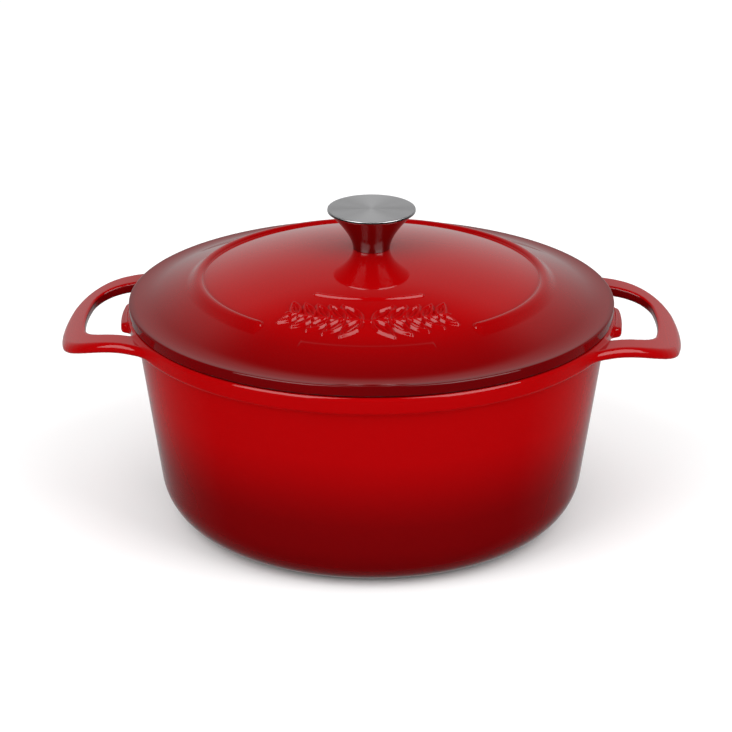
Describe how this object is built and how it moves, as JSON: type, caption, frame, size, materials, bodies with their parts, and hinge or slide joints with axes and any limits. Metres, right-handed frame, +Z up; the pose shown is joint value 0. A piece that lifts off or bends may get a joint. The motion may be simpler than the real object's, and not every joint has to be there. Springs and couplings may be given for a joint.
{
  "type": "dutch oven",
  "caption": "Round cast iron dutch oven in shaded red enamel, with loop handles, a lift-off domed lid and a turned steel knob.",
  "frame": {"origin": "centre of the base, on the surface that the pot stands on", "axes": "+Z up, handles along X, leaf relief towards -Y"},
  "size_m": [0.352, 0.2766, 0.1829],
  "materials": {
    "red_enamel": "gloss enamel, bright red shading to maroon at the rim and base",
    "pale_enamel": "opaque gloss enamel",
    "brushed_steel": "satin",
    "steel": "satin"
  },
  "bodies": {
    "pot": {"pot": "red_enamel", "pot_lining": "pale_enamel"},
    "lid": {"lid": "red_enamel", "lid_lining": "pale_enamel", "knob": "brushed_steel", "knob_screw": "steel", "lock_washer": "steel"}
  },
  "joints": [
    {"name": "lid_lift", "type": "slide", "parent": "pot", "child": "lid", "axis": [0, 0, 1], "range_m": [0, 0.15]}
  ]
}
